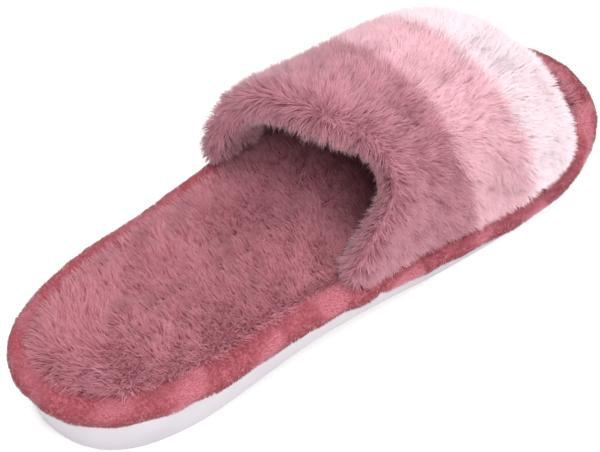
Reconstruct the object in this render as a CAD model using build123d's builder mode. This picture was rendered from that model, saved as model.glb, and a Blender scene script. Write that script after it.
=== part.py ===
from build123d import *
from math import cos, copysign, radians, sin
import os

# Fluffy house slipper, left foot: open heel, one foot band, open toe.
# +Y points to the toe, +X to the inner (big toe) side, +Z up. The outsole stands on Z = 0.

# Plan of the footbed, millimetres: (x, y) round the outer edge, from the back of the heel
# along the inner side to the toe and back along the outer side
EDGE_POINTS = [
    (0, -127.7), (27, -113), (38, -78), (39, -38), (44, 12), (49, 55), (46, 94), (31, 119),
    (8, 127.7), (-18, 119), (-37, 93), (-48.5, 52), (-47, 5), (-39, -50), (-35, -95), (-22, -121),
]

# Middle level of the footbed's edge along the length: (y, z)
LEVEL_POINTS = [(-140, 26.4), (-85, 26.4), (-20, 21.4), (45, 14.6), (140, 16.5)]

# Footbed: heights are counted from its middle level
WRAP_HALF = 4.4          # half the height of the wrapped edge
WRAP_CLOTH = 1.6         # thickness of the plush strip
WRAP_TOP_LIP = 9.0       # how far the strip reaches in over the foam
WRAP_UNDER_LIP = 14.0    # how far it reaches in under the board
WRAP_ROUND_TOP = 4.5
WRAP_ROUND_UNDER = 3.0
FOAM_ROUND = 3.0
BOARD_THICK = 1.6
INSOLE_TOP = 6.7         # top of the insole's pile
INSOLE_ROUND = 2.2
THREAD = 1.0

# Outsole
SOLE_TOP_INSET = 1.8
SOLE_FLOOR_INSET = 6.2
SOLE_LOFT_TOP = 24.0     # height at which its wall reaches the top inset
SOLE_CORNER = 2.0
ARCH_RISE = 4.5          # how far the waist stands off the floor
ARCH_FROM_Y = -88.0
ARCH_TO_Y = 30.0
TREAD_DEPTH = 1.4
TREAD_WIDTH = 3.2
TREAD_PITCH = 9.0
TREAD_BORDER = 13.0
TREAD_ROWS = 25

# Foot band: stations along the length, (y, outer side x, inner side x, height of the crown)
BAND_STATIONS = [
    (-34, -43, 38, 78), (5, -49.5, 42, 77), (40, -49, 45.6, 70),
    (70, -47.5, 48, 64.5), (92, -42, 44.5, 52.5), (108, -30, 38, 36),
]
BAND_FULLNESS = 2.6      # 2 would make a section elliptical, more pushes its shoulders out
BAND_TURNS = range(0, 181, 20)                 # angles at which a section is drawn
BAND_START = 5.0         # how fast a section leaves its upright sides, in heights of its crown
BAND_BASE = 14.0         # height at which the sides of a section stand upright
BAND_SKIRT = 12.0        # how far a section runs down before it is trimmed to the footbed
FUR_IN = (0.0, 0.0)      # each skin of the band: inset at the sides, drop at the crown
THREAD_IN = (4.0, 8.0)
FOAM_IN = (5.0, 9.0)
LINING_IN = (6.8, 11.6)
INSIDE_IN = (8.6, 13.4)
BAND_HALF = 52.0         # the throat edge is drawn in two side views, this far out on either side
THROAT_OUTER = [(-19, 0), (-18, 32), (-16.5, 50), (-15, 66), (-14, 86)]    # (y, z)
THROAT_INNER = [(-17, 0), (-16.5, 28), (-12.5, 41), (7, 49), (16, 56), (21, 66), (28, 86)]
TOE_EDGE = [(91, 0), (98, 34), (101, 84)]      # side view of the toe edge
EDGE_TURN = 4.0          # how far the fur stands past the ends of the foam
REAR_PANEL_END = 42.0
MIDDLE_PANEL_END = 69.0
REACH = 160.0            # half the size of the cutting blocks


def edge_sketch(inset):
    """Plan of the footbed, each point of its edge moved in by inset along the edge's normal."""
    rim = Edge.make_spline([Vector(x, y) for x, y in EDGE_POINTS], periodic=True)
    moved_in = []
    for x, y in EDGE_POINTS:
        along = rim.tangent_at(Vector(x, y))
        moved_in.append((x - inset * along.Y, y + inset * along.X))
    with BuildSketch() as plan:
        with BuildLine():
            Spline(*moved_in, periodic=True)
        make_face()
    return plan.sketch


def level_slab(low, high):
    """Everything between two heights counted from the footbed's middle level."""
    with BuildPart() as slab:
        with BuildSketch(Plane.YZ.offset(-REACH)):
            with BuildLine():
                bottom = Spline(*[(y, z + low) for y, z in LEVEL_POINTS])
                top = Spline(*[(y, z + high) for y, z in LEVEL_POINTS])
                Line(bottom @ 0, top @ 0)
                Line(bottom @ 1, top @ 1)
            make_face()
        extrude(amount=2 * REACH)
    return slab.part


def layer(inset, low, high):
    """A sheet of the footbed: its plan moved in by inset, between two heights."""
    with BuildPart() as sheet:
        with BuildSketch():
            add(edge_sketch(inset))
        extrude(amount=REACH)
        add(level_slab(low, high), mode=Mode.INTERSECT)
    return sheet.part


def vault(skin):
    """Solid under one skin of the foot band, from behind the throat to in front of the toe edge."""
    side_inset, crown_drop = skin
    with BuildPart() as arch:
        for y, outer_x, inner_x, height in BAND_STATIONS:
            middle = (outer_x + inner_x) / 2
            half_width = (inner_x - outer_x) / 2 - side_inset
            floor = BAND_BASE - BAND_SKIRT
            rise = height - crown_drop - BAND_BASE
            crown = []
            for turn in BAND_TURNS:
                across = copysign(abs(cos(radians(turn))) ** (2 / BAND_FULLNESS), 90 - turn)
                up = sin(radians(turn)) ** (2 / BAND_FULLNESS)
                crown.append(Vector(middle + half_width * across, BAND_BASE + rise * up))
            with BuildSketch(Plane.XZ.offset(-y)):
                with BuildLine():
                    add(Edge.make_spline(
                        crown, tangents=[Vector(0, BAND_START * rise), Vector(0, -BAND_START * rise)],
                        parameters=[turn / 180 for turn in BAND_TURNS], scale=False,
                    ))
                    Polyline(
                        (middle - half_width, BAND_BASE), (middle - half_width, floor),
                        (middle + half_width, floor), (middle + half_width, BAND_BASE),
                    )
                make_face()
        loft()
    return arch.part


def band_profile(shorten):
    """Block between the throat edge and the toe edge, moved in by shorten at both ends."""
    with BuildPart() as block:
        for side_x, throat_edge in ((-BAND_HALF, THROAT_OUTER), (BAND_HALF, THROAT_INNER)):
            with BuildSketch(Plane.YZ.offset(side_x)):
                with BuildLine():
                    throat = Spline(*[(y + shorten, z) for y, z in throat_edge])
                    toe = ThreePointArc(*[(y - shorten, z) for y, z in TOE_EDGE])
                    Line(throat @ 0, toe @ 0)
                    Line(throat @ 1, toe @ 1)
                make_face()
        loft(ruled=True)
    return block.part


def band_skin(outer_skin, inner_skin, shorten):
    """Shell between two skins of the foot band, not yet trimmed to the footbed."""
    with BuildPart() as shell:
        add(vault(outer_skin))
        add(vault(inner_skin), mode=Mode.SUBTRACT)
        add(band_profile(shorten), mode=Mode.INTERSECT)
    return shell.part


def edge_thread(profile_outside, profile_inside, half):
    """Thread along one edge of the lining: the strip between two profiles, half says which edge."""
    with BuildPart() as strip:
        add(band_skin(LINING_IN, INSIDE_IN, profile_outside))
        add(band_profile(profile_inside), mode=Mode.SUBTRACT)
        add(half, mode=Mode.INTERSECT)
        add(footbed_top.part, mode=Mode.SUBTRACT)
    return strip.part


def panel_thread(seam_y):
    """Thread across the band where two fur panels are sewn together, under the pile."""
    with BuildPart() as strip:
        add(band_skin(THREAD_IN, FOAM_IN, 0))
        add(cross_slab(seam_y - THREAD / 2, seam_y + THREAD / 2), mode=Mode.INTERSECT)
        add(footbed_top.part, mode=Mode.SUBTRACT)
    return strip.part


def cross_slab(start_y, end_y):
    """Everything between two stations along the length."""
    with BuildPart() as slab:
        with BuildSketch(Plane.XZ.offset(-start_y)):
            Rectangle(2 * REACH, 2 * REACH)
        extrude(amount=-(end_y - start_y))
    return slab.part


UNDER_BOARD = -WRAP_HALF + WRAP_CLOTH
OVER_BOARD = UNDER_BOARD + BOARD_THICK
OVER_FOAM = WRAP_HALF - WRAP_CLOTH

os.makedirs("parts", exist_ok=True)

# Insole board: flat sheet that the edge strip is lasted around
with BuildPart() as insole_board:
    add(layer(WRAP_CLOTH, UNDER_BOARD, OVER_BOARD))
insole_board.part.label = "insole_board"
export_step(insole_board.part, "parts/insole_board.step")

# Footbed foam, with a softened top edge
with BuildPart() as footbed_foam:
    add(layer(WRAP_CLOTH, OVER_BOARD, OVER_FOAM))
    fillet(footbed_foam.faces().sort_by(Axis.Z)[-1].edges(), FOAM_ROUND)
footbed_foam.part.label = "footbed_foam"
export_step(footbed_foam.part, "parts/footbed_foam.step")

# Edge wrap: plush strip round the foam's edge, over its top and under the board
with BuildPart() as wrap_filling:
    add(layer(WRAP_CLOTH, UNDER_BOARD, OVER_FOAM))
    fillet(wrap_filling.faces().sort_by(Axis.Z)[-1].edges(), FOAM_ROUND)
with BuildPart() as edge_wrap:
    add(layer(0, -WRAP_HALF, WRAP_HALF))
    fillet(edge_wrap.faces().sort_by(Axis.Z)[-1].edges(), WRAP_ROUND_TOP)
    fillet(edge_wrap.faces().sort_by(Axis.Z)[0].edges(), WRAP_ROUND_UNDER)
    add(wrap_filling.part, mode=Mode.SUBTRACT)
    add(layer(WRAP_TOP_LIP, 0, REACH / 4), mode=Mode.SUBTRACT)
    add(layer(WRAP_UNDER_LIP, -REACH / 8, 0), mode=Mode.SUBTRACT)
edge_wrap.part.label = "edge_wrap"
export_step(edge_wrap.part, "parts/edge_wrap.step")

# Insole cover: plush sheet inside the wrap's top lip
with BuildPart() as insole_cover:
    add(layer(WRAP_TOP_LIP + THREAD, OVER_FOAM, INSOLE_TOP))
    fillet(insole_cover.faces().sort_by(Axis.Z)[-1].edges(), INSOLE_ROUND)
insole_cover.part.label = "insole_cover"
export_step(insole_cover.part, "parts/insole_cover.step")

# Footbed seam thread: lies in the groove between the wrap and the insole
with BuildPart() as footbed_seam_thread:
    add(layer(WRAP_TOP_LIP, OVER_FOAM, OVER_FOAM + THREAD))
    add(layer(WRAP_TOP_LIP + THREAD, 0, WRAP_HALF), mode=Mode.SUBTRACT)
footbed_seam_thread.part.label = "footbed_seam_thread"
export_step(footbed_seam_thread.part, "parts/footbed_seam_thread.step")

# Outsole: drafted wall, middle raised to the board, arched waist and ribbed tread
with BuildPart() as outsole:
    with BuildSketch():
        add(edge_sketch(SOLE_FLOOR_INSET))
    with BuildSketch(Plane.XY.offset(SOLE_LOFT_TOP)):
        add(edge_sketch(SOLE_TOP_INSET))
    loft()
    add(level_slab(-REACH, -WRAP_HALF), mode=Mode.INTERSECT)
    fillet(outsole.faces().sort_by(Axis.Z)[0].edges(), SOLE_CORNER)
    add(layer(WRAP_UNDER_LIP, -WRAP_HALF - WRAP_CLOTH, UNDER_BOARD))
    with BuildSketch(Plane.YZ.offset(-REACH)):
        with BuildLine():
            ThreePointArc((ARCH_FROM_Y, 0), ((ARCH_FROM_Y + ARCH_TO_Y) / 2, ARCH_RISE), (ARCH_TO_Y, 0))
            Line((ARCH_TO_Y, 0), (ARCH_FROM_Y, 0))
        make_face()
    extrude(amount=2 * REACH, mode=Mode.SUBTRACT)
    with BuildSketch():
        with GridLocations(0, TREAD_PITCH, 1, TREAD_ROWS):
            Rectangle(REACH, TREAD_WIDTH)
        add(edge_sketch(TREAD_BORDER), mode=Mode.INTERSECT)
    extrude(amount=TREAD_DEPTH, mode=Mode.SUBTRACT)
outsole.part.label = "outsole"
export_step(outsole.part, "parts/outsole.step")

# What the foot band is trimmed to: the top of the wrap, the insole inside it
with BuildPart() as footbed_top:
    add(level_slab(-REACH / 4, WRAP_HALF))
    add(insole_cover.part)

# Lining: the skin next to the foot
with BuildPart() as upper_lining:
    add(band_skin(LINING_IN, INSIDE_IN, EDGE_TURN + THREAD))
    add(footbed_top.part, mode=Mode.SUBTRACT)
upper_lining.part.label = "upper_lining"
export_step(upper_lining.part, "parts/upper_lining.step")

# Sponge interlining
with BuildPart() as upper_foam:
    add(band_skin(FOAM_IN, LINING_IN, EDGE_TURN))
    add(footbed_top.part, mode=Mode.SUBTRACT)
upper_foam.part.label = "upper_foam"
export_step(upper_foam.part, "parts/upper_foam.step")

# Threads that close the lining at the throat and at the toe
with BuildPart() as throat_seam_thread:
    add(edge_thread(EDGE_TURN, EDGE_TURN + THREAD, cross_slab(-REACH, REAR_PANEL_END)))
throat_seam_thread.part.label = "throat_seam_thread"
export_step(throat_seam_thread.part, "parts/throat_seam_thread.step")

with BuildPart() as toe_seam_thread:
    add(edge_thread(EDGE_TURN, EDGE_TURN + THREAD, cross_slab(MIDDLE_PANEL_END, REACH)))
toe_seam_thread.part.label = "toe_seam_thread"
export_step(toe_seam_thread.part, "parts/toe_seam_thread.step")

# Threads between the fur panels
with BuildPart() as rear_panel_seam_thread:
    add(panel_thread(REAR_PANEL_END))
rear_panel_seam_thread.part.label = "rear_panel_seam_thread"
export_step(rear_panel_seam_thread.part, "parts/rear_panel_seam_thread.step")

with BuildPart() as front_panel_seam_thread:
    add(panel_thread(MIDDLE_PANEL_END))
front_panel_seam_thread.part.label = "front_panel_seam_thread"
export_step(front_panel_seam_thread.part, "parts/front_panel_seam_thread.step")

# Fur: one shell that turns in round both edges of the lining, cut into its three panels
with BuildPart() as band_filling:
    add(vault(FOAM_IN))
    add(band_profile(EDGE_TURN), mode=Mode.INTERSECT)
with BuildPart() as fur_shell:
    add(band_skin(FUR_IN, INSIDE_IN, 0))
    add(band_filling.part, mode=Mode.SUBTRACT)
    add(footbed_top.part, mode=Mode.SUBTRACT)
    add(rear_panel_seam_thread.part, mode=Mode.SUBTRACT)
    add(front_panel_seam_thread.part, mode=Mode.SUBTRACT)

with BuildPart() as rear_fur_band:
    add(fur_shell.part)
    add(cross_slab(-REACH, REAR_PANEL_END), mode=Mode.INTERSECT)
rear_fur_band.part.label = "rear_fur_band"
export_step(rear_fur_band.part, "parts/rear_fur_band.step")

with BuildPart() as middle_fur_band:
    add(fur_shell.part)
    add(cross_slab(REAR_PANEL_END, MIDDLE_PANEL_END), mode=Mode.INTERSECT)
middle_fur_band.part.label = "middle_fur_band"
export_step(middle_fur_band.part, "parts/middle_fur_band.step")

with BuildPart() as front_fur_band:
    add(fur_shell.part)
    add(cross_slab(MIDDLE_PANEL_END, REACH), mode=Mode.INTERSECT)
front_fur_band.part.label = "front_fur_band"
export_step(front_fur_band.part, "parts/front_fur_band.step")
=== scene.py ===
import bpy
import math
import numpy as np
from mathutils import Matrix, Vector
from mathutils.bvhtree import BVHTree
from mathutils.kdtree import KDTree


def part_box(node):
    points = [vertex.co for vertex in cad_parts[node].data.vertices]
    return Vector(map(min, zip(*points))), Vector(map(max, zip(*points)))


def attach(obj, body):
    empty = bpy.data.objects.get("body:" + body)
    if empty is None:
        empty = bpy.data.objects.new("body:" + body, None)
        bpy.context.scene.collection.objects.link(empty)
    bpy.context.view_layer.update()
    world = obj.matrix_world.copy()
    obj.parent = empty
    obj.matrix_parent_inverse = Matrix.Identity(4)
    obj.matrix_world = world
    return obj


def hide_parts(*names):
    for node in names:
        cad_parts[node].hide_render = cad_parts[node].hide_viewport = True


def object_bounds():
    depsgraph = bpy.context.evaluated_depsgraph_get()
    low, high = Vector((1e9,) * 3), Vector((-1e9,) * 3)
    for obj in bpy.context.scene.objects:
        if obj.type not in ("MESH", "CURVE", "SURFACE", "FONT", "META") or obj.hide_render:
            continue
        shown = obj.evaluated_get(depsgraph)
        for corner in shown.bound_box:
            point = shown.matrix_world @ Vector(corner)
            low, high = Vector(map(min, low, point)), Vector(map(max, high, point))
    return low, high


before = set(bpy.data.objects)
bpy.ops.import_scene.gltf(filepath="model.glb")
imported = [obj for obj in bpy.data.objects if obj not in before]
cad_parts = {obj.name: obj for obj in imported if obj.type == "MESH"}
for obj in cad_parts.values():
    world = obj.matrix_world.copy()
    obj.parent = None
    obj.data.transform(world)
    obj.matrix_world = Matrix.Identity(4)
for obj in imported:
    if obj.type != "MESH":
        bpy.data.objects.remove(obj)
cad_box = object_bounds()

MM = 0.001
SEED = 4211
FAR = 0.4                      # where rays from above start
RIM_RAY = 0.12                 # where rays towards the rim, the band's sides and its skins start:
SIDE_RAY = 0.15                # all of them well outside the slipper
SKIN_RAY = 0.2

INSOLE_TOP = 6.7 * MM          # top of the CAD's insole above the footbed's middle level
WRAP_LIP = 9.4 * MM            # how far the wrapped edge reaches in over the foam
REAR_PANEL_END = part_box("rear_fur_band")[1].y
MIDDLE_PANEL_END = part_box("middle_fur_band")[1].y


# ---------------------------------------------------------------- frame helpers

def cad_tree(*nodes):
    """One ray-casting tree of the named CAD nodes."""
    verts, faces = [], []
    for node in nodes:
        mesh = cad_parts[node].data
        start = len(verts)
        verts.extend(v.co.copy() for v in mesh.vertices)
        faces.extend([start + i for i in p.vertices] for p in mesh.polygons)
    return BVHTree.FromPolygons(verts, faces)


def unit(v):
    return v / np.maximum(np.linalg.norm(v, axis=-1, keepdims=True), 1e-12)


def smooth_noise(points, scale, seed):
    """Cheap smooth 3-D noise in about -1..1: a few sine waves in random directions."""
    random = np.random.default_rng(seed)
    total = np.zeros(points.shape[:-1])
    for _ in range(7):
        wave = unit(random.normal(size=3)) * 2 * math.pi / (scale * random.uniform(0.7, 1.5))
        total += np.sin(points @ wave + random.uniform(0, 2 * math.pi))
    return total / 3.2


def smooth_rows(values, rounds):
    """Averages a 2-D table with its neighbours along both axes, ends kept."""
    out = np.array(values, float)
    for _ in range(rounds):
        for axis in (0, 1):
            padded = np.concatenate([np.take(out, [0], axis), out, np.take(out, [-1], axis)], axis)
            n = out.shape[axis]
            before = np.take(padded, range(0, n), axis)
            after = np.take(padded, range(2, n + 2), axis)
            out = 0.5 * out + 0.25 * (before + after)
    return out


# ---------------------------------------------------------------- the footbed's level and rim

insole_tree = cad_tree("insole_cover")
wrap_tree = cad_tree("edge_wrap")
INSOLE_LOW, INSOLE_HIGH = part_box("insole_cover")
LEVEL_Y = np.linspace(INSOLE_LOW.y + 4 * MM, INSOLE_HIGH.y - 4 * MM, 80)


def insole_height(y):
    hit = insole_tree.ray_cast(Vector((0, y, FAR)), Vector((0, 0, -1)))[0]
    return hit.z


LEVEL_Z = np.array([insole_height(y) for y in LEVEL_Y]) - INSOLE_TOP


def level(y):
    """Middle level of the footbed's edge at y."""
    return np.interp(y, LEVEL_Y, LEVEL_Z)


RIM_SPINE_END = 45 * MM        # the line that the rim is seen from ends this far inside the box


def rim_path(count):
    """Points round the wrapped edge at its middle level, counter-clockwise from the heel, evenly spaced."""
    half = (cad_box[1][1] - cad_box[0][1]) / 2 - RIM_SPINE_END
    found = []
    for turn in np.linspace(0, 2 * math.pi, 400, endpoint=False):
        aim = Vector((math.sin(turn), -math.cos(turn), 0))
        centre_y = half * max(-1.0, min(1.0, 2.2 * -math.cos(turn)))
        y = centre_y
        for _ in range(3):          # the ray's height follows the rim that it finds
            start = Vector((0, centre_y, float(level(y)))) + aim * RIM_RAY
            hit = wrap_tree.ray_cast(start, -aim)[0]
            y = hit.y
        found.append((hit.x, hit.y))
    found = np.array(found)
    closed = np.vstack([found, found[:1]])
    along = np.concatenate([[0], np.cumsum(np.linalg.norm(np.diff(closed, axis=0), axis=1))])
    even = np.linspace(0, along[-1], count, endpoint=False)
    path = np.stack([np.interp(even, along, closed[:, k]) for k in (0, 1)], 1)
    return path, along[-1]


RIM_COUNT = 480
RIM, RIM_LENGTH = rim_path(RIM_COUNT)
for _ in range(6):
    RIM = 0.5 * RIM + 0.25 * (np.roll(RIM, 1, 0) + np.roll(RIM, -1, 0))
RIM_ALONG = unit(np.roll(RIM, -1, 0) - np.roll(RIM, 1, 0))
RIM_OUT = np.stack([RIM_ALONG[:, 1], -RIM_ALONG[:, 0]], 1)
if np.mean(np.sum(RIM_OUT * RIM, 1)) < 0:
    RIM_OUT = -RIM_OUT
RIM_Z = level(RIM[:, 1])


# ---------------------------------------------------------------- mesh helpers

def mesh_object(name, verts, faces, smooth=True):
    mesh = bpy.data.meshes.new(name)
    mesh.from_pydata([tuple(v) for v in verts], [], [tuple(f) for f in faces])
    mesh.update()
    if smooth:
        mesh.polygons.foreach_set("use_smooth", np.ones(len(mesh.polygons), bool))
    obj = bpy.data.objects.new(name, mesh)
    bpy.context.scene.collection.objects.link(obj)
    return obj


def grid_faces(rows, cols, start=0, wrap=False, flip=False):
    faces = []
    for i in range(rows - 1):
        for j in range(cols if wrap else cols - 1):
            k = (j + 1) % cols
            here, below = start + i * cols, start + (i + 1) * cols
            quad = [here + j, here + k, below + k, below + j]
            faces.append(quad[::-1] if flip else quad)
    return faces


def grid_normals(grid, wrap=False):
    """Unit normals of a (rows, cols, 3) grid, by central differences."""
    down = np.gradient(grid, axis=0)
    if wrap:
        across = (np.roll(grid, -1, 1) - np.roll(grid, 1, 1)) / 2
    else:
        across = np.gradient(grid, axis=1)
    return unit(np.cross(across, down)), unit(down), unit(across)


def refine(grid, rows_wrap=False, cols_wrap=False):
    """Doubles a grid's rows and columns, new points on a smooth curve through the old ones."""
    for axis, wrap in ((0, rows_wrap), (1, cols_wrap)):
        grid = np.moveaxis(grid, axis, 0)
        if wrap:
            around = np.concatenate([grid[-1:], grid, grid[:2]])
        else:
            around = np.concatenate([2 * grid[:1] - grid[1:2], grid, 2 * grid[-1:] - grid[-2:-1]])
        middle = (9 * (around[1:-2] + around[2:-1]) - around[:-3] - around[3:]) / 16
        double = np.empty((len(grid) + len(middle), *grid.shape[1:]))
        double[0::2] = grid
        double[1::2] = middle
        grid = np.moveaxis(double, 0, axis)
    return grid


def scatter(grid, density, seed, weight=None, wrap=False):
    """Random points on a grid surface, evenly by area. Gives row and column coordinates."""
    random = np.random.default_rng(seed)
    nxt = np.roll(grid, -1, 1) if wrap else grid[:, 1:]
    here = grid if wrap else grid[:, :-1]
    a, b, c, d = here[:-1], nxt[:-1], nxt[1:], here[1:]
    first_half = np.linalg.norm(np.cross(b - a, d - a), axis=-1)
    second_half = np.linalg.norm(np.cross(b - c, d - c), axis=-1)
    area = 0.5 * (first_half + second_half)
    if weight is not None:
        area = area * weight[:area.shape[0], :area.shape[1]]
    count = int(area.sum() * density)
    pick = random.choice(area.size, count, p=area.ravel() / area.sum())
    row, col = np.unravel_index(pick, area.shape)
    return row + random.random(count), col + random.random(count)


def at(grid, row, col, wrap=False):
    """Values of a grid at fractional rows and columns."""
    rows, cols = grid.shape[:2]
    i = np.clip(row.astype(int), 0, rows - 2)
    u = (row - i)[:, None] if grid.ndim == 3 else row - i
    if wrap:
        j = col.astype(int) % cols
        k = (j + 1) % cols
    else:
        j = np.clip(col.astype(int), 0, cols - 2)
        k = j + 1
    v = col - np.floor(col) if wrap else col - j
    v = v[:, None] if grid.ndim == 3 else v
    return (grid[i, j] * (1 - u) * (1 - v) + grid[i, k] * (1 - u) * v
            + grid[i + 1, j] * u * (1 - v) + grid[i + 1, k] * u * v)


# ---------------------------------------------------------------- pile

TRIANGLES_PER_PIECE = 190000
STRAND_CORNERS = (0.5, 0.5 + 2.094, 0.5 + 4.189)       # angles of a strand's three corners
STRAND_TAPER = {2: (1.0, 0.75), 3: (1.0, 0.95, 0.7)}   # widths from root to tip, by number of sections


def clumps(root, share, seed):
    """Nearest of a few chosen strands, for every strand: its tuft. One tuft per share strands."""
    chosen = np.random.default_rng(seed).choice(len(root), max(1, len(root) // share), replace=False)
    tree = KDTree(len(chosen))
    for number, strand in enumerate(chosen):
        tree.insert(root[strand], number)
    tree.balance()
    return chosen[[tree.find(place)[1] for place in root]]


def strand_faces(sections):
    """Corner numbers and face sizes of one strand: its sides, then its root and its tip."""
    quads, tris = [], [(0, 1, 2)]
    for k in range(sections - 1):
        for r in range(3):
            n = (r + 1) % 3
            quads.append((3 * k + r, 3 * k + 3 + r, 3 * k + 3 + n, 3 * k + n))
    top = 3 * (sections - 1)
    for r in range(3):
        tris.append((top + r, top + 3, top + (r + 1) % 3))
    corners = np.array([i for face in quads + tris for i in face])
    return corners, np.array([4] * len(quads) + [3] * len(tris))


def strand_uv(tone, corners, sections):
    """U is a strand's tone, a little apart at its three corners, and V runs from its root to its tip."""
    per = 3 * sections + 1
    ring_of = np.array([i // 3 for i in range(per)]) / sections
    spread = np.array([(i % 3 - 1) * 0.006 for i in range(per)])
    spread[-1] = 0.0
    u = np.clip(0.02 + 0.96 * tone[:, None] + spread[None, :], 0.0, 1.0)
    v = np.broadcast_to(0.02 + 0.96 * ring_of[None, :], u.shape)
    return np.stack([u, v], -1)[:, corners].reshape(-1, 2)


def pile_mesh(name, root, normal, lay, length, width, tone, lean, curl, softness, sections=3):
    """Closed tapered strands, three-sided, leaning from normal towards lay. Angles are in radians."""
    count = len(root)
    side = unit(np.cross(lay, normal))
    points, along_dirs = [root], []
    place = root.copy()
    for step in range(sections):
        angle = lean[0] + (lean[1] - lean[0]) * (step + 0.5) / sections
        angle = angle + curl * (step + 0.5)
        heading = unit(normal * np.cos(angle)[:, None] + lay * np.sin(angle)[:, None])
        place = place + heading * (length / sections)[:, None]
        points.append(place)
        along_dirs.append(heading)
    along_dirs.append(along_dirs[-1])
    taper = STRAND_TAPER[sections]
    ring = [(math.cos(a), math.sin(a)) for a in STRAND_CORNERS]
    verts = np.empty((count, 3 * sections + 1, 3), np.float32)
    soft = np.empty_like(verts)
    for k in range(sections):
        up = unit(np.cross(side, along_dirs[k]))
        for r, (c, s) in enumerate(ring):
            out = side * c + up * s
            verts[:, 3 * k + r] = points[k] + out * (width * taper[k])[:, None]
            soft[:, 3 * k + r] = unit(normal * softness + out * (1 - softness))
    verts[:, -1] = points[-1]
    soft[:, -1] = unit(normal * softness + along_dirs[-1] * (1 - softness))
    corners, face_sizes = strand_faces(sections)
    per = verts.shape[1]
    loops = (corners[None, :] + per * np.arange(count)[:, None]).ravel()
    sizes = np.tile(face_sizes, count)
    starts = np.concatenate([[0], np.cumsum(sizes)[:-1]])
    mesh = bpy.data.meshes.new(name)
    mesh.vertices.add(count * per)
    mesh.vertices.foreach_set("co", verts.ravel())
    mesh.loops.add(len(loops))
    mesh.loops.foreach_set("vertex_index", loops.astype(np.int32))
    mesh.polygons.add(len(sizes))
    mesh.polygons.foreach_set("loop_start", starts.astype(np.int32))
    mesh.polygons.foreach_set("use_smooth", np.ones(len(sizes), bool))
    mesh.update(calc_edges=True)
    layer = mesh.uv_layers.new(name="OFBake")
    layer.data.foreach_set("uv", strand_uv(tone, corners, sections).astype(np.float32).ravel())
    mesh.normals_split_custom_set_from_vertices(soft.reshape(-1, 3).tolist())
    obj = bpy.data.objects.new(name, mesh)
    bpy.context.scene.collection.objects.link(obj)
    return obj


def pile(name, material, slot, node, data, seed, softness, sections=3):
    """Splits strands into pieces of a size that the export keeps whole."""
    count = len(data["root"])
    order = np.random.default_rng(seed).permutation(count)
    triangles = 6 * sections - 2           # of one strand
    most = TRIANGLES_PER_PIECE // triangles
    for part, start in enumerate(range(0, count, most)):
        pick = order[start:start + most]
        rows = {key: value[pick] for key, value in data.items()}
        obj = pile_mesh(
            f"{name}_{part + 1}", rows["root"], rows["normal"], rows["lay"], rows["length"], rows["width"],
            rows["tone"], (rows["lean_root"], rows["lean_tip"]), rows["curl"], softness, sections,
        )
        obj.data.materials.append(material)
        finish_piece(obj, slot, node)


def finish_piece(obj, slot, *nodes):
    """Hides the CAD nodes that a piece stands for and puts it on the root body; slot is not used."""
    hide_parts(*nodes)
    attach(obj, "root")


# ---------------------------------------------------------------- materials

def new_material(name):
    material = bpy.data.materials.new(name)
    material.use_nodes = True
    nodes = material.node_tree.nodes
    return material, nodes, material.node_tree.links, nodes["Principled BSDF"]


def ramp(nodes, stops):
    node = nodes.new("ShaderNodeValToRGB")
    node.color_ramp.interpolation = "EASE"
    elements = node.color_ramp.elements
    while len(elements) < len(stops):
        elements.new(0.5)
    for element, (place, colour) in zip(elements, stops):
        element.position = place
        element.color = (*colour, 1.0)
    return node


def pile_material(name, root, middle, tip, dark, light, sheen=0.25):
    """Colour runs along each strand by V and is multiplied, from dark to light, by the strand's tone in U."""
    material, nodes, links, shader = new_material(name)
    uv = nodes.new("ShaderNodeUVMap")
    uv.uv_map = "OFBake"
    split = nodes.new("ShaderNodeSeparateXYZ")
    links.new(uv.outputs[0], split.inputs[0])
    along = ramp(nodes, [(0.0, root), (0.5, middle), (1.0, tip)])
    links.new(split.outputs["Y"], along.inputs[0])
    tone = ramp(nodes, [(0.0, dark), (0.5, (1.0, 1.0, 1.0)), (1.0, light)])
    links.new(split.outputs["X"], tone.inputs[0])
    mix = nodes.new("ShaderNodeMix")
    mix.data_type = "RGBA"
    mix.blend_type = "MULTIPLY"
    mix.inputs[0].default_value = 1.0
    links.new(along.outputs[0], mix.inputs[6])
    links.new(tone.outputs[0], mix.inputs[7])
    links.new(mix.outputs[2], shader.inputs["Base Color"])
    shader.inputs["Roughness"].default_value = 0.75
    shader.inputs["Specular IOR Level"].default_value = 0.25
    shader.inputs["Sheen Weight"].default_value = sheen
    shader.inputs["Sheen Roughness"].default_value = 0.45
    return material


def cloth_material(name, colour, second, scale=900.0, bump=0.3):
    """Fine even texture between two colours: backing cloth, sponge, board or thread."""
    material, nodes, links, shader = new_material(name)
    place = nodes.new("ShaderNodeTexCoord")
    fine = nodes.new("ShaderNodeTexNoise")
    fine.inputs["Scale"].default_value = scale
    fine.inputs["Detail"].default_value = 4.0
    links.new(place.outputs["Object"], fine.inputs["Vector"])
    colours = ramp(nodes, [(0.35, colour), (0.65, second)])
    links.new(fine.outputs["Fac"], colours.inputs[0])
    links.new(colours.outputs[0], shader.inputs["Base Color"])
    height = nodes.new("ShaderNodeBump")
    height.inputs["Strength"].default_value = bump
    height.inputs["Distance"].default_value = 0.0006
    links.new(fine.outputs["Fac"], height.inputs["Height"])
    links.new(height.outputs[0], shader.inputs["Normal"])
    shader.inputs["Roughness"].default_value = 0.9
    shader.inputs["Sheen Weight"].default_value = 0.3
    return material


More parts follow.
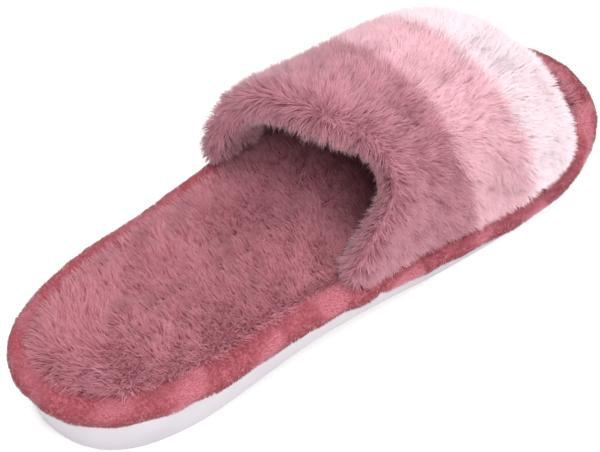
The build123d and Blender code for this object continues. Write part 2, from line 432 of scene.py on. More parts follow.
def sole_material():
    """Moulded white foam rubber: faint clouds and a fine matt skin."""
    material, nodes, links, shader = new_material("moulded_sole")
    place = nodes.new("ShaderNodeTexCoord")
    clouds = nodes.new("ShaderNodeTexNoise")
    clouds.inputs["Scale"].default_value = 35.0
    clouds.inputs["Detail"].default_value = 3.0
    links.new(place.outputs["Object"], clouds.inputs["Vector"])
    colours = ramp(nodes, [(0.3, (0.43, 0.40, 0.435)), (0.7, (0.475, 0.44, 0.475))])
    links.new(clouds.outputs["Fac"], colours.inputs[0])
    links.new(colours.outputs[0], shader.inputs["Base Color"])
    skin = nodes.new("ShaderNodeTexNoise")
    skin.inputs["Scale"].default_value = 1400.0
    skin.inputs["Detail"].default_value = 2.0
    links.new(place.outputs["Object"], skin.inputs["Vector"])
    height = nodes.new("ShaderNodeBump")
    height.inputs["Strength"].default_value = 0.12
    height.inputs["Distance"].default_value = 0.0003
    links.new(skin.outputs["Fac"], height.inputs["Height"])
    links.new(height.outputs[0], shader.inputs["Normal"])
    shader.inputs["Roughness"].default_value = 0.5
    shader.inputs["Specular IOR Level"].default_value = 0.35
    return material


mauve_pile = pile_material(
    "mauve_fur", (0.32, 0.10, 0.13), (0.44, 0.17, 0.21), (0.57, 0.29, 0.335),
    dark=(0.58, 0.44, 0.47), light=(1.20, 1.20, 1.22),
)
pink_pile = pile_material(
    "pink_fur", (0.66, 0.31, 0.36), (0.74, 0.40, 0.455), (0.80, 0.50, 0.555),
    dark=(0.82, 0.72, 0.74), light=(1.12, 1.18, 1.18),
)
pale_pile = pile_material(
    "pale_fur", (0.88, 0.66, 0.71), (0.91, 0.72, 0.77), (0.93, 0.76, 0.81),
    dark=(0.94, 0.88, 0.90), light=(1.02, 1.05, 1.05),
)
# the insole pile's dark end also carries the painted shade under the foot band
insole_pile = pile_material(
    "insole_pile", (0.28, 0.07, 0.095), (0.43, 0.14, 0.175), (0.56, 0.25, 0.29),
    dark=(0.40, 0.24, 0.26), light=(1.12, 1.26, 1.28),
)
# the lining's rose plush, darkened to near-black as painted shade inside the foot band
lining_pile = pile_material(
    "lining_pile", (0.05, 0.01, 0.015), (0.10, 0.026, 0.035), (0.16, 0.05, 0.065),
    dark=(0.75, 0.68, 0.70), light=(1.2, 1.15, 1.15), sheen=0.08,
)
# the wrap pile's light and dark ends paint the sheen of its brushed patches
wrap_pile = pile_material(
    "wrap_pile", (0.28, 0.05, 0.07), (0.34, 0.072, 0.095), (0.39, 0.10, 0.128),
    dark=(0.88, 0.60, 0.62), light=(1.6, 2.5, 2.4), sheen=0.2,
)
mauve_cloth = cloth_material("mauve_backing", (0.36, 0.14, 0.18), (0.44, 0.19, 0.24))
insole_cloth = cloth_material("insole_backing", (0.27, 0.09, 0.12), (0.36, 0.13, 0.17))
wrap_cloth = cloth_material("wrap_backing", (0.28, 0.06, 0.08), (0.36, 0.09, 0.12))
pink_cloth = cloth_material("pink_backing", (0.66, 0.30, 0.34), (0.74, 0.37, 0.42))
pale_cloth = cloth_material("pale_backing", (0.88, 0.66, 0.71), (0.92, 0.74, 0.79))
# the lining's backing, darkened the same way as painted shade
lining_cloth = cloth_material("lining_backing", (0.08, 0.02, 0.03), (0.12, 0.035, 0.045))
foam_look = cloth_material("sponge", (0.78, 0.74, 0.66), (0.86, 0.83, 0.77), scale=500.0, bump=0.6)
board_look = cloth_material("fibre_board", (0.42, 0.36, 0.30), (0.56, 0.50, 0.43), scale=300.0, bump=0.4)
thread_look = cloth_material("seam_thread", (0.55, 0.28, 0.32), (0.68, 0.40, 0.44), scale=2500.0, bump=0.5)
mauve_thread = cloth_material("mauve_thread", (0.20, 0.07, 0.09), (0.28, 0.11, 0.14), scale=2500.0, bump=0.5)
sole_look = sole_material()


# ---------------------------------------------------------------- foot band: surfaces read from the frame

foam_tree = cad_tree("upper_foam")
lining_tree = cad_tree("upper_lining")
fur_tree = cad_tree("rear_fur_band", "middle_fur_band", "front_fur_band")
BAND_LOW, BAND_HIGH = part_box("upper_foam")
BAND_ANGLES = 49
BAND_TURN = np.linspace(math.radians(2.0), math.radians(178.0), BAND_ANGLES)
OUTER_ROWS, EDGE_ROWS, INNER_ROWS = 34, 5, 20
CLOTH = 0.8 * MM
PILE_DEEP = 7.2 * MM           # the fur's backing lies this far under the fur's outside
THROAT_BACK = 1.0 * MM         # how far the backing's turned edges start behind the foam's
TOE_BACK = 3.0 * MM
AXIS_RISE = 5.1 * MM           # the band's axis above the footbed's middle level


def band_axis(y):
    """Point inside the band at y, just above the wrapped edge, half-way between its sides."""
    z = float(level(y)) + AXIS_RISE
    sides = []
    for way in (1, -1):
        hit = foam_tree.ray_cast(Vector((way * SIDE_RAY, y, z + 6 * MM)), Vector((-way, 0, 0)))[0]
        sides.append(hit.x if hit else 0.0)
    return Vector(((sides[0] + sides[1]) / 2, y, z))


AXIS_Y = np.linspace(BAND_LOW.y + 12 * MM, BAND_HIGH.y - 6 * MM, 40)
AXIS = np.array([band_axis(y) for y in AXIS_Y])


def axis_point(y):
    return np.stack([np.interp(y, AXIS_Y, AXIS[:, 0]), y, level(y) + AXIS_RISE], -1)


def outer_skin(tree, y, turn):
    """Distance from the band's axis to the outside of a layer, or None past its edges."""
    start = Vector(axis_point(y))
    way = Vector((math.cos(turn), 0, math.sin(turn)))
    hit = tree.ray_cast(start + way * SKIN_RAY, -way, SKIN_RAY)[0]
    return (hit - start).length if hit else None


def lining_skin(y, turn):
    start = Vector(axis_point(y))
    way = Vector((math.cos(turn), 0, math.sin(turn)))
    hit = lining_tree.ray_cast(start, way)[0]
    return (hit - start).length if hit else None


def band_edges(turn):
    """Where the foam starts and ends along the length, at one angle round the band."""
    found = [y for y in np.arange(BAND_LOW.y, BAND_HIGH.y, 0.5 * MM) if outer_skin(foam_tree, y, turn)]
    return found[0] + THROAT_BACK, found[-1] - TOE_BACK


EDGES = np.array([band_edges(t) for t in BAND_TURN])
EDGES[:, 0] += np.interp(np.degrees(BAND_TURN), [8, 28, 62, 88], [0, 4.8, 5.0, 0]) * MM
for _ in range(4):
    EDGES[1:-1] = 0.5 * EDGES[1:-1] + 0.25 * (EDGES[:-2] + EDGES[2:])
OUTER_T = np.linspace(0, 1, OUTER_ROWS)
outer_y = EDGES[:, 0] + (EDGES[:, 1] - EDGES[:, 0]) * OUTER_T[:, None]
outer_r = np.empty_like(outer_y)
inner_r = np.empty_like(outer_y)
for i in range(OUTER_ROWS):
    for j, turn in enumerate(BAND_TURN):
        y = outer_y[i, j]
        foam = outer_skin(foam_tree, y, turn)
        fur = outer_skin(fur_tree, y, turn)
        outer_r[i, j] = max(foam + CLOTH, fur - PILE_DEEP) if foam and fur else np.nan
        inner_r[i, j] = lining_skin(y, turn) or np.nan


def fill_gaps(table):
    """Replaces missing rays by the nearest good one along the length."""
    for j in range(table.shape[1]):
        good = np.where(np.isfinite(table[:, j]))[0]
        table[:, j] = np.interp(np.arange(len(table)), good, table[good, j])
    return table


outer_r = smooth_rows(fill_gaps(outer_r), 3)
inner_r = smooth_rows(fill_gaps(inner_r), 3)


def ring_point(y, r):
    """Points of one row round the band, at each angle."""
    centre = axis_point(y)
    return centre + np.stack([r * np.cos(BAND_TURN), np.zeros_like(r), r * np.sin(BAND_TURN)], -1)


def band_loop():
    """Closed rows round the band's cross-section: throat edge, outside, toe edge, lining."""
    rows, kind = [], []
    for turn in np.linspace(0, math.pi, EDGE_ROWS + 2)[1:-1]:
        middle, half = (outer_r[0] + inner_r[0]) / 2, (outer_r[0] - inner_r[0]) / 2
        rows.append(ring_point(outer_y[0] - half * math.sin(turn), middle - half * math.cos(turn)))
        kind.append("throat")
    for i in range(OUTER_ROWS):
        rows.append(ring_point(outer_y[i], outer_r[i]))
        kind.append("outer")
    for turn in np.linspace(0, math.pi, EDGE_ROWS + 2)[1:-1]:
        middle, half = (outer_r[-1] + inner_r[-1]) / 2, (outer_r[-1] - inner_r[-1]) / 2
        rows.append(ring_point(outer_y[-1] + half * math.sin(turn), middle + half * math.cos(turn)))
        kind.append("toe")
    for i in np.linspace(OUTER_ROWS - 1, 0, INNER_ROWS).astype(int):
        rows.append(ring_point(outer_y[i], inner_r[i]))
        kind.append("lining")
    return np.array(rows), np.array(kind)


BAND_ROWS, BAND_KIND = band_loop()


# ---------------------------------------------------------------- cloth simulation

PUFF_PRESSURE = 4.0
PUFF_FRAMES = 20
BAND_CAP = 1.5 * MM            # furthest that the simulation may move a point
INSOLE_CAP = 1.2 * MM


def puff(obj, pinned, cap):
    """Swells a closed body with Cloth. Gives its points afterwards, none moved further than cap."""
    before = np.array([v.co for v in obj.data.vertices])
    group = obj.vertex_groups.new(name="held")
    group.add([int(i) for i in np.where(pinned)[0]], 1.0, "REPLACE")
    cloth = obj.modifiers.new("cloth", "CLOTH")
    cloth.settings.quality = 6
    cloth.settings.mass = 0.15
    cloth.settings.tension_stiffness = 12
    cloth.settings.compression_stiffness = 12
    cloth.settings.shear_stiffness = 6
    cloth.settings.bending_stiffness = 0.6
    cloth.settings.vertex_group_mass = "held"
    cloth.settings.use_pressure = True
    cloth.settings.uniform_pressure_force = PUFF_PRESSURE
    cloth.settings.effector_weights.gravity = 0
    cloth.collision_settings.use_collision = False
    cloth.point_cache.frame_start = 1
    cloth.point_cache.frame_end = PUFF_FRAMES
    scene = bpy.context.scene
    for step in range(1, PUFF_FRAMES + 1):
        scene.frame_set(step)
    evaluated = obj.evaluated_get(bpy.context.evaluated_depsgraph_get())
    after = np.array([v.co for v in evaluated.data.vertices])
    obj.modifiers.remove(cloth)
    scene.frame_set(1)
    move = after - before
    far = np.linalg.norm(move, axis=1, keepdims=True)
    return before + move * np.minimum(1.0, cap / np.maximum(far, 1e-9))


def swell_band(rows):
    """The band's stuffing pushes its outside out a little between the sewn sides."""
    count = len(rows)
    verts = rows.reshape(-1, 3)
    faces = []
    for i in range(count):
        k = (i + 1) % count
        for j in range(BAND_ANGLES - 1):
            here, after = i * BAND_ANGLES + j, k * BAND_ANGLES + j
            faces.append((here, after, after + 1, here + 1))
    faces.append([i * BAND_ANGLES for i in range(count)][::-1])
    faces.append([i * BAND_ANGLES + BAND_ANGLES - 1 for i in range(count)])
    body = mesh_object("band_body", verts, faces)
    held = np.zeros((count, BAND_ANGLES), bool)
    held[:, :3] = held[:, -3:] = True      # the sides, sewn to the footbed
    held[BAND_KIND == "lining"] = True
    moved = puff(body, held.ravel(), BAND_CAP)
    bpy.data.objects.remove(body)
    return moved.reshape(rows.shape)


BAND_ROWS = swell_band(BAND_ROWS)
BAND_ROWS = refine(BAND_ROWS, rows_wrap=True)
BAND_TURN = np.interp(np.arange(BAND_ROWS.shape[1]) / 2, np.arange(BAND_ANGLES), BAND_TURN)
BAND_ANGLES = len(BAND_TURN)
EDGE_ROWS, OUTER_ROWS = 2 * EDGE_ROWS, 2 * OUTER_ROWS
TOE_END = 2 * EDGE_ROWS + OUTER_ROWS
TUCK_ROWS = 8                  # lining rows that the fur covers inside the throat
fur_grid = np.concatenate([BAND_ROWS[-TUCK_ROWS:], BAND_ROWS[:TOE_END + 3]])
lining_grid = BAND_ROWS[TOE_END:]


def shell_from_grid(name, grid, thickness):
    """Closed thin shell: a grid surface and its copy moved in by thickness."""
    normals = grid_normals(grid)[0]
    middle = grid.mean((0, 1))
    if np.mean(np.sum(normals * (grid - middle), -1)) < 0:
        normals = -normals
    rows, cols = grid.shape[:2]
    verts = np.concatenate([grid.reshape(-1, 3), (grid - normals * thickness).reshape(-1, 3)])
    faces = grid_faces(rows, cols) + grid_faces(rows, cols, rows * cols, flip=True)
    border = ([(0, j) for j in range(cols)] + [(i, cols - 1) for i in range(1, rows)]
              + [(rows - 1, j) for j in range(cols - 2, -1, -1)] + [(i, 0) for i in range(rows - 2, 0, -1)])
    for a, b in zip(border, border[1:] + border[:1]):
        p, q = a[0] * cols + a[1], b[0] * cols + b[1]
        faces.append((p, p + rows * cols, q + rows * cols, q))
    return mesh_object(name, verts, faces)


fur_normals, fur_forward, fur_round = grid_normals(fur_grid)
mid_rows = slice(TUCK_ROWS + EDGE_ROWS + 5, TUCK_ROWS + EDGE_ROWS + OUTER_ROWS - 5)
centre = axis_point(fur_grid[mid_rows, :, 1])
if np.mean(np.sum(fur_normals[mid_rows] * (fur_grid[mid_rows] - centre), -1)) < 0:
    fur_normals = -fur_normals
fur_turn = np.broadcast_to(BAND_TURN, fur_grid.shape[:2]).copy()


def foot_band():
    """Three sewn panels: a backing cloth and its pile each."""
    outside_first = TUCK_ROWS + EDGE_ROWS
    outside_last = outside_first + OUTER_ROWS
    y_mid = fur_grid[:, BAND_ANGLES // 2, 1]
    outside = range(outside_first, outside_last)
    rows_middle = [i for i in outside if REAR_PANEL_END < y_mid[i] <= MIDDLE_PANEL_END]
    first_middle, first_front = rows_middle[0], rows_middle[-1]
    rear_grid = fur_grid[:first_middle + 1]
    middle_grid = fur_grid[first_middle:first_front + 1]
    front_grid = fur_grid[first_front:]
    for name, grid, material, slot, node in (
        ("rear_panel_cloth", rear_grid, mauve_cloth, "mauve_fur", "rear_fur_band"),
        ("middle_panel_cloth", middle_grid, pink_cloth, "pink_fur", "middle_fur_band"),
        ("front_panel_cloth", front_grid, pale_cloth, "pale_fur", "front_fur_band"),
    ):
        cloth = shell_from_grid(name, grid, CLOTH * 0.8)
        cloth.data.materials.append(material)
        finish_piece(cloth, slot, node, "upper_foam")
    strands = band_strands()
    y = strands.pop("sort_y")
    rear = y < REAR_PANEL_END
    front = y > MIDDLE_PANEL_END
    for name, pick, material, slot, node, seed, softness in (
        ("rear_fur", rear, mauve_pile, "mauve_fur", "rear_fur_band", 1, 0.76),
        ("middle_fur", ~rear & ~front, pink_pile, "pink_fur", "middle_fur_band", 2, 0.84),
        ("front_fur", front, pale_pile, "pale_fur", "front_fur_band", 3, 0.9),
    ):
        rows = {key: value[pick] for key, value in strands.items()}
        pile(name, material, slot, node, rows, seed, softness)


BAND_DENSITY = 5.4 / MM ** 2
BAND_LENGTH = 7.9              # millimetres
TIP_REACH = 4.0 * MM           # how far forward of its root a strand's tip comes to lie


def band_strands():
    """Pile of the foot band: hangs over the throat's edge, lies forward and down everywhere else."""
    random = np.random.default_rng(SEED + 1)
    row, col = scatter(fur_grid, BAND_DENSITY, SEED + 2)
    root = at(fur_grid, row, col)
    normal = unit(at(fur_normals, row, col))
    forward = unit(at(fur_forward, row, col))
    turn = at(fur_turn, row, col)
    down = unit(at(fur_round, row, col)) * np.where(turn > math.pi / 2, 1.0, -1.0)[:, None]
    count = len(root)
    flank = np.abs(np.cos(turn))
    from_throat = (row - TUCK_ROWS) / (EDGE_ROWS + 8.0)
    degrees = np.degrees(turn)
    overhang = np.interp(degrees, [0, 25, 60, 85, 120, 150, 180], [1.0, 0.5, 0.6, 1.1, 1.2, 0.9, 0.7])
    hang = np.clip(1.0 - from_throat, 0.0, 1.0) * overhang
    at_toe = np.clip((row - (TUCK_ROWS + EDGE_ROWS + OUTER_ROWS - 6)) / 6.0, 0.0, 1.0)
    ahead = 1.0 - 2.0 * hang
    swirl = smooth_noise(root, 34 * MM, 5)
    tuft = smooth_noise(root, 8 * MM, 6)
    lay = forward * (ahead * (1.0 - 0.35 * flank))[:, None] + down * (0.25 + 0.75 * flank ** 1.5)[:, None]
    centre = clumps(root, 30, SEED + 3)
    sway = 0.55 * smooth_noise(root, 15 * MM, 7) + 0.35 * tuft + 0.35 * random.normal(0, 1, count)[centre]
    sway = (sway + random.normal(0, 0.3, count)) * (1.0 - 0.5 * np.clip(hang, 0, 1))
    lay = lay + forward * (0.3 * swirl)[:, None]
    lay = lay * np.cos(sway)[:, None] + np.cross(normal, lay) * np.sin(sway)[:, None]
    lay = lay + random.normal(0, 0.15, (count, 3))
    at_base = np.clip(1.0 - np.degrees(np.minimum(turn, math.pi - turn)) / 14.0, 0.0, 1.0)
    length = (BAND_LENGTH + 0.7 * swirl + 0.5 * tuft + random.normal(0, 0.8, count)) * MM
    length = length * (1.0 - 0.15 * flank ** 3) * (1.0 - 0.25 * at_toe) * (1.0 - 0.35 * at_base)
    trim = np.interp(degrees, [10, 30, 65, 88, 115, 135], [0, -0.3, -0.34, 0.1, 0.06, -0.18])
    length = length * (1.0 + trim * np.clip(hang, 0, 1))
    pull = 0.45 + 0.25 * hang
    lay = lay + (root[centre] - root) / length[:, None] * pull[:, None]
    lay = unit(lay - normal * np.sum(lay * normal, 1, keepdims=True))
    # painted shade along the pile's parting at the seam between the pink and pale panels, on the band's sides
    parting_shade = np.exp(-((root[:, 1] + 3 * MM - MIDDLE_PANEL_END) / (2.2 * MM)) ** 2) * flank
    tone = 0.5 + 0.08 * tuft + 0.05 * swirl + 0.1 * random.normal(0, 1, count)[centre] - 0.22 * parting_shade
    # painted shade: the fur tucked inside the throat is darkened
    tone = tone - 0.26 * np.clip(1.0 - row / TUCK_ROWS, 0.0, 1.0)
    stripe = np.clip((root[:, 1] - REAR_PANEL_END) / (10 * MM) + 2.0, 0.0, 1.0)
    stripe = stripe * (root[:, 1] + TIP_REACH < REAR_PANEL_END)
    # the far side's overhanging lip (turn past 1.6) is painted lighter: painted light where the lamps leave it
    # darker
    tone = tone - 0.1 * stripe + 0.07 * np.clip(hang, 0, 1) * (turn > 1.6) * (row > TUCK_ROWS)
    tone = tone + random.normal(0, 0.11, count)
    lean = 6 * tuft + 9 * random.normal(0, 1, count)[centre]
    lean_tip = 34 + 14 * flank + 16 * hang + 12 * at_toe - 14 * at_base + lean
    return {
        "root": root - normal * 0.3 * MM,
        "normal": normal,
        "lay": lay,
        "length": np.clip(length, 4 * MM, 14 * MM),
        "width": random.uniform(0.08, 0.125, count) * MM,
        "tone": np.clip(tone, 0, 1),
        "lean_root": np.radians(6 + 10 * flank + 0.3 * lean + random.normal(0, 7, count)),
        "lean_tip": np.radians(lean_tip + random.normal(0, 9, count)),
        "curl": random.normal(0, 0.04, count),
        "sort_y": root[:, 1] + random.normal(0, 1.3 * MM, count) + TIP_REACH,
    }


# ---------------------------------------------------------------- lining

LINING_DENSITY = 2.0 / MM ** 2


def lining():
    """Plush lining inside the foot band, brushed down and inwards."""
    normals = grid_normals(lining_grid)[0]
    centre = axis_point(lining_grid[..., 1])
    if np.mean(np.sum(normals * (lining_grid - centre), -1)) > 0:
        normals = -normals
    cloth = shell_from_grid("lining_cloth", lining_grid, 1.2 * MM)
    cloth.data.materials.append(lining_cloth)
    finish_piece(cloth, "lining", "upper_lining")
    random = np.random.default_rng(SEED + 11)
    row, col = scatter(lining_grid, LINING_DENSITY, SEED + 12)
    root = at(lining_grid, row, col)
    normal = unit(at(normals, row, col))
    count = len(root)
    lay = np.tile(np.array([0.0, -0.6, -0.6]), (count, 1)) + random.normal(0, 0.45, (count, 3))
    lay = unit(lay - normal * np.sum(lay * normal, 1, keepdims=True))
    patch = smooth_noise(root, 9 * MM, 13)
    data = {
        "root": root - normal * 0.2 * MM, "normal": normal, "lay": lay,
        "length": np.clip(5.0 + random.normal(0, 0.7, count), 2.5, 8) * MM,
        "width": random.uniform(0.15, 0.22, count) * MM,
        "tone": np.clip(0.5 + 0.12 * patch + random.normal(0, 0.1, count), 0, 1),
        "lean_root": np.radians(20 + random.normal(0, 8, count)),
        "lean_tip": np.radians(60 + random.normal(0, 10, count)),
        "curl": random.normal(0, 0.05, count),
    }
    pile("lining_pile", lining_pile, "lining", "upper_lining", data, seed=14, softness=0.6, sections=2)


# ---------------------------------------------------------------- insole

INSOLE_RINGS = 14
INSOLE_STEP = 3                # every third point of the rim
INSOLE_INSET = WRAP_LIP + 0.3 * MM
INSOLE_DENSITY = 3.8 / MM ** 2
PAD_BOTTOM = 2.85 * MM
PAD_RISE = 1.9 * MM


def insole_grid():
    """Rings from the insole's edge to its middle line, top surface of the backing cloth."""
    edge = (RIM - RIM_OUT * INSOLE_INSET)[::INSOLE_STEP]
    core_y = np.clip(edge[:, 1], INSOLE_LOW.y + 33 * MM, INSOLE_HIGH.y - 36 * MM)
    core = np.stack([np.interp(core_y, [-0.09, 0.09], [0.0, 0.002]), core_y], 1)
    rings = []
    for share in np.linspace(0, 0.998, INSOLE_RINGS) ** 1.3:
        flat = edge + (core - edge) * share
        distance = np.linalg.norm(flat - edge, axis=1)
        lift = PAD_RISE * (1 - np.clip(1 - distance / (7 * MM), 0, 1) ** 2) + 0.6 * MM * share
        rings.append(np.column_stack([flat, level(flat[:, 1]) + PAD_BOTTOM + 0.3 * MM + lift]))
    return np.array(rings)


def closed_pad(name, top, bottom):
    """Closed body between two wrapped grids with a middle opening that is capped."""
    rings, cols = top.shape[:2]
    size = rings * cols
    faces = grid_faces(rings, cols, wrap=True) + grid_faces(rings, cols, size, wrap=True, flip=True)
    faces += [(j, j + size, (j + 1) % cols + size, (j + 1) % cols) for j in range(cols)]
    last = size - cols
    faces.append([last + j for j in range(cols)])
    faces.append([size + last + j for j in range(cols)][::-1])
    return mesh_object(name, np.concatenate([top.reshape(-1, 3), bottom.reshape(-1, 3)]), faces)


def insole():
    """Padded insole: a swollen backing cloth with pile on its top."""
    top = insole_grid()
    rise = np.clip(np.arange(INSOLE_RINGS) / 3.0, 0, 1)[:, None]
    top[..., 2] += 0.45 * MM * smooth_noise(top, 24 * MM, 21) * rise
    bottom = top.copy()
    bottom[..., 2] = level(top[..., 1]) + PAD_BOTTOM
    body = closed_pad("insole_body", top, bottom)
    held = np.zeros(2 * top[..., 0].size, bool)
    held[top[..., 0].size:] = True
    held[:top.shape[1]] = True
    top = puff(body, held, INSOLE_CAP)[:top[..., 0].size].reshape(top.shape)
    bpy.data.objects.remove(body)
    top, bottom = refine(top, cols_wrap=True), refine(bottom, cols_wrap=True)
    pad = closed_pad("insole_cloth", top, bottom)
    pad.data.materials.append(insole_cloth)
    finish_piece(pad, "insole_plush", "insole_cover")
    strands = insole_strands(top)
    pile("insole_fur", insole_pile, "insole_plush", "insole_cover", strands, seed=27, softness=0.72, sections=2)


def insole_strands(top):
    """Pile of the insole: brushed towards the heel, turned out over the border, with painted shade under the
    band.
    """
    normals = grid_normals(top, wrap=True)[0]
    if normals[..., 2].mean() < 0:
        normals = -normals
    random = np.random.default_rng(SEED + 22)
    thicker = 1.0 + 0.6 * np.clip(1 - np.arange(len(top)) / 4.0, 0, 1)
    thicker = np.broadcast_to(thicker[:, None], top.shape[:2])
    row, col = scatter(top, INSOLE_DENSITY, SEED + 23, thicker, wrap=True)
    root = at(top, row, col, wrap=True)
    normal = unit(at(normals, row, col, wrap=True))
    count = len(root)
    edge_near = np.clip(1 - row / 4.0, 0, 1)
    outer_half = np.clip(1 - row / 14.0, 0, 1)
    rim_row = (col / top.shape[1] * RIM_COUNT).astype(int) % RIM_COUNT
    out = np.column_stack([RIM_OUT, np.zeros(RIM_COUNT)])[rim_row]
    swirl = smooth_noise(root, 48 * MM, 24)
    heading = math.radians(-118) + 0.8 * swirl + 0.3 * smooth_noise(root, 17 * MM, 25)
    lay = np.stack([np.cos(heading), np.sin(heading), np.zeros(count)], 1)
    lay = lay * (1.0 - 0.6 * edge_near)[:, None] + out * (0.6 * outer_half + 0.9 * edge_near)[:, None]
    tuft = smooth_noise(root, 6 * MM, 26)
    centre = clumps(root, 20, SEED + 28)
    sway = 0.5 * smooth_noise(root, 12 * MM, 29) + 0.35 * random.normal(0, 1, count)[centre]
    sway = sway + random.normal(0, 0.3, count)
    lay = lay * np.cos(sway)[:, None] + np.cross(normal, lay) * np.sin(sway)[:, None]
    lay = lay + random.normal(0, 0.15, (count, 3))
    lay = lay + (root[centre] - root) / (6 * MM) * 0.5
    lay = unit(lay - normal * np.sum(lay * normal, 1, keepdims=True))
    paler = np.clip(-root[:, 1] / 0.1, -0.5, 1.0) * 0.12 + 0.06 * outer_half
    # painted shade: the pile under the foot band is darkened, less again towards the toe opening
    shade_under_band = np.clip((root[:, 1] - 3 * MM) / (26 * MM), 0, 1)
    shade_under_band = shade_under_band * np.clip((92 * MM - root[:, 1]) / (14 * MM), 0, 1)
    tone = 0.5 + paler - 0.42 * shade_under_band + 0.06 * tuft + 0.04 * swirl
    tone = tone + 0.06 * random.normal(0, 1, count)[centre]
    return {
        "root": root - normal * 0.2 * MM, "normal": normal, "lay": lay,
        "length": np.clip(6.0 + 0.4 * swirl + random.normal(0, 0.6, count), 3.5, 8.5) * MM,
        "width": random.uniform(0.10, 0.15, count) * MM,
        "tone": np.clip(tone + random.normal(0, 0.08, count), 0, 1),
        "lean_root": np.radians(10 + 12 * edge_near + random.normal(0, 8, count)),
        "lean_tip": np.radians(42 + 16 * edge_near + 7 * tuft + random.normal(0, 9, count)),
        "curl": random.normal(0, 0.05, count),
    }


# ---------------------------------------------------------------- wrapped edge

WRAP_SECTION_POINTS = 21
WRAP_HIDDEN = 4                        # first rows of the section, under the board, without pile
WRAP_DENSITY = 5.0 / MM ** 2
WRAP_JOIN = (41 * MM, -13 * MM)        # where the ends of the strip overlap


def wrap_section():
    """Outside of the wrap's section, (outward, up): under lip, outer roll, top lip."""
    points = [(-13.5, -3.6), (-11.0, -3.6), (-8.0, -3.6)]
    for turn in np.linspace(-90, 90, WRAP_SECTION_POINTS):
        c, s = math.cos(math.radians(turn)), math.sin(math.radians(turn))
        points.append((-5.2 + 4.9 * abs(c) ** 0.85, 3.9 * math.copysign(abs(s) ** 0.9, s)))
    points += [(-7.2, 4.1), (-8.8, 4.1), (-10.0, 3.7)]
    return np.array(points) * MM


def edge_wrap():
    """Plush strip lasted round the footbed: its cloth with gathers, the overlap at its join, and pile."""
    section = wrap_section()
    rows = []
    for out, up in section:
        flat = RIM + RIM_OUT * out
        rows.append(np.column_stack([flat, RIM_Z + up]))
    grid = np.array(rows)
    normals = grid_normals(grid, wrap=True)[0]
    if np.mean(np.sum(normals[8] * np.column_stack([RIM_OUT, 0 * RIM_Z]), 1)) < 0:
        normals = -normals
    gathers = smooth_noise(grid, 16 * MM, 31) * 0.35 * MM + smooth_noise(grid, 6 * MM, 32) * 0.12 * MM
    nearest = np.argmin(np.linalg.norm(RIM - WRAP_JOIN, axis=1))
    join = (np.arange(RIM_COUNT) - nearest) / RIM_COUNT * RIM_LENGTH
    overlap = 0.9 * MM * np.exp(-(join / (5 * MM)) ** 2)
    crease = 1.0 * MM * np.exp(-((join - 8 * MM) / (1.6 * MM)) ** 2)
    gathers += overlap - crease
    roll = np.clip(np.arange(len(section)) - WRAP_HIDDEN, 0, 4)[:, None] / 4.0
    grid = grid + normals * (gathers * roll)[..., None]
    inner = grid - normals * 0.7 * MM
    count, cols = len(section), RIM_COUNT
    verts = np.concatenate([grid.reshape(-1, 3), inner.reshape(-1, 3)])
    size = count * cols
    faces = grid_faces(count, cols, wrap=True) + grid_faces(count, cols, size, wrap=True, flip=True)
    for j in range(cols):
        k = (j + 1) % cols
        faces.append((j, j + size, k + size, k))
        a, b = (count - 1) * cols + j, (count - 1) * cols + k
        faces.append((a, b, b + size, a + size))
    cloth = mesh_object("wrap_cloth", verts, faces)
    cloth.data.materials.append(wrap_cloth)
    finish_piece(cloth, "edge_plush", "edge_wrap")
    strands = wrap_strands(grid[WRAP_HIDDEN:], normals[WRAP_HIDDEN:])
    pile("wrap_pile", wrap_pile, "edge_plush", "edge_wrap", strands, seed=37, softness=0.88, sections=2)


def wrap_strands(shown, normals):
    """Short pile of the wrap, brushed one way and the other in patches, each patch's tone a painted sheen."""
    random = np.random.default_rng(SEED + 33)
    row, col = scatter(shown, WRAP_DENSITY, SEED + 34, wrap=True)
    root = at(shown, row, col, wrap=True)
    normal = unit(at(normals, row, col, wrap=True))
    total = len(root)
    along3 = np.column_stack([RIM_ALONG, np.zeros(RIM_COUNT)])[col.astype(int) % RIM_COUNT]
    place = col / RIM_COUNT * RIM_LENGTH
    line = np.stack([place, 0 * place, row * 0.9 * MM], 1)
    # the brushing sets both the strands' lay and their tone; the tone paints the velvet's lighter and darker
    # sheen patches
    brushed = np.tanh(3.0 * smooth_noise(line, 22 * MM, 35) + 0.6 * smooth_noise(line, 9 * MM, 36))
    lay = along3 * (0.9 * brushed)[:, None] + np.array([0, 0, -0.35]) + random.normal(0, 0.35, (total, 3))
    lay = unit(lay - normal * np.sum(lay * normal, 1, keepdims=True))
    return {
        "root": root - normal * 0.15 * MM, "normal": normal, "lay": lay,
        "length": np.clip(1.15 + random.normal(0, 0.15, total), 0.7, 1.7) * MM,
        "width": random.uniform(0.11, 0.15, total) * MM,
        # tone: painted sheen of the brushed patches
        "tone": np.clip(0.5 + 0.44 * brushed + random.normal(0, 0.05, total), 0, 1),
        "lean_root": np.radians(12 + random.normal(0, 8, total)),
        "lean_tip": np.radians(52 + random.normal(0, 8, total)),
        "curl": random.normal(0, 0.05, total),
    }


# ---------------------------------------------------------------- the whole slipper

foot_band()
lining()
insole()
edge_wrap()

for node, look in (
    ("outsole", sole_look), ("insole_board", board_look), ("footbed_foam", foam_look),
    ("upper_foam", foam_look), ("footbed_seam_thread", mauve_thread), ("throat_seam_thread", mauve_thread),
    ("toe_seam_thread", thread_look), ("rear_panel_seam_thread", thread_look),
    ("front_panel_seam_thread", thread_look),
):
    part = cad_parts[node]
    for material_slot in part.material_slots:
        material_slot.material = look


# ---------------------------------------------------------------- stage, light and camera

def floor():
    bpy.ops.mesh.primitive_plane_add(size=6.0, location=(0, 0, 0))
    plane = bpy.context.object
    plane.name = "floor"
    material, nodes, links, shader = new_material("pale_floor")
    shader.inputs["Base Color"].default_value = (0.93, 0.93, 0.93, 1.0)
    shader.inputs["Roughness"].default_value = 0.9
    plane.data.materials.append(material)


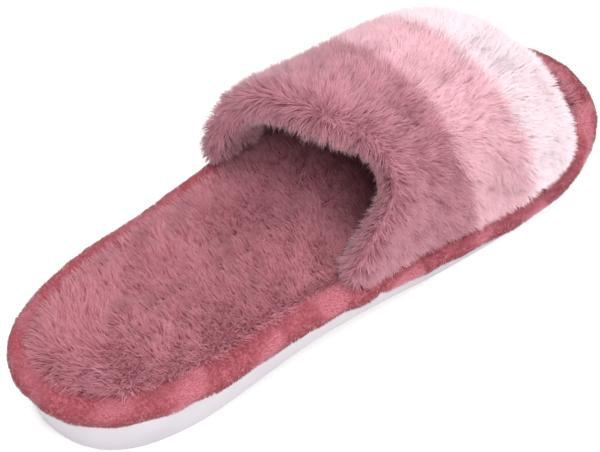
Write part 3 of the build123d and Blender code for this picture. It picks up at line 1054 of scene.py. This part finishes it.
LIGHT_AIM = (0, 0, 0.03)


def area_light(name, place, size, power):
    data = bpy.data.lights.new(name, "AREA")
    data.shape = "DISK"
    data.size = size
    data.energy = power
    light = bpy.data.objects.new(name, data)
    light.location = place
    light.rotation_euler = (Vector(LIGHT_AIM) - Vector(place)).to_track_quat("-Z", "Y").to_euler()
    bpy.context.scene.collection.objects.link(light)


def studio():
    world = bpy.data.worlds.new("studio")
    bpy.context.scene.world = world
    world.use_nodes = True
    background = world.node_tree.nodes["Background"]
    background.inputs["Color"].default_value = (1.0, 1.0, 1.0, 1.0)
    background.inputs["Strength"].default_value = 0.85
    area_light("key", (-0.30, 0.10, 1.0), size=0.8, power=6.8)
    area_light("fill", (0.75, -0.20, 0.80), size=1.0, power=10.5)
    bpy.context.scene.view_settings.view_transform = "Standard"


CAMERA_AZIMUTH = 48.86
CAMERA_ELEVATION = 52.02
CAMERA_ROLL = 0.12
CAMERA_DISTANCE = 0.6305
CAMERA_TARGET = Vector((0, 0, 0.020))
CAMERA_LENS = 102.4
CAMERA_SHIFT = (-0.0259, -0.0186)


def camera():
    azimuth, elevation, roll = (math.radians(a) for a in (CAMERA_AZIMUTH, CAMERA_ELEVATION, CAMERA_ROLL))
    level_part = math.cos(elevation)
    back = Vector((math.sin(azimuth) * level_part, -math.cos(azimuth) * level_part, math.sin(elevation)))
    right = Vector((math.cos(azimuth), math.sin(azimuth), 0))
    up = back.cross(right)
    right, up = right * math.cos(roll) + up * math.sin(roll), up * math.cos(roll) - right * math.sin(roll)
    data = bpy.data.cameras.new("camera")
    data.sensor_width = 36.0
    data.lens = CAMERA_LENS
    data.shift_x, data.shift_y = CAMERA_SHIFT
    data.clip_start = 0.05
    eye = bpy.data.objects.new("camera", data)
    eye.matrix_world = Matrix.Translation(CAMERA_TARGET + back * CAMERA_DISTANCE) @ Matrix(
        (right, up, back)).transposed().to_4x4()
    bpy.context.scene.collection.objects.link(eye)
    bpy.context.scene.camera = eye


floor()
studio()
camera()
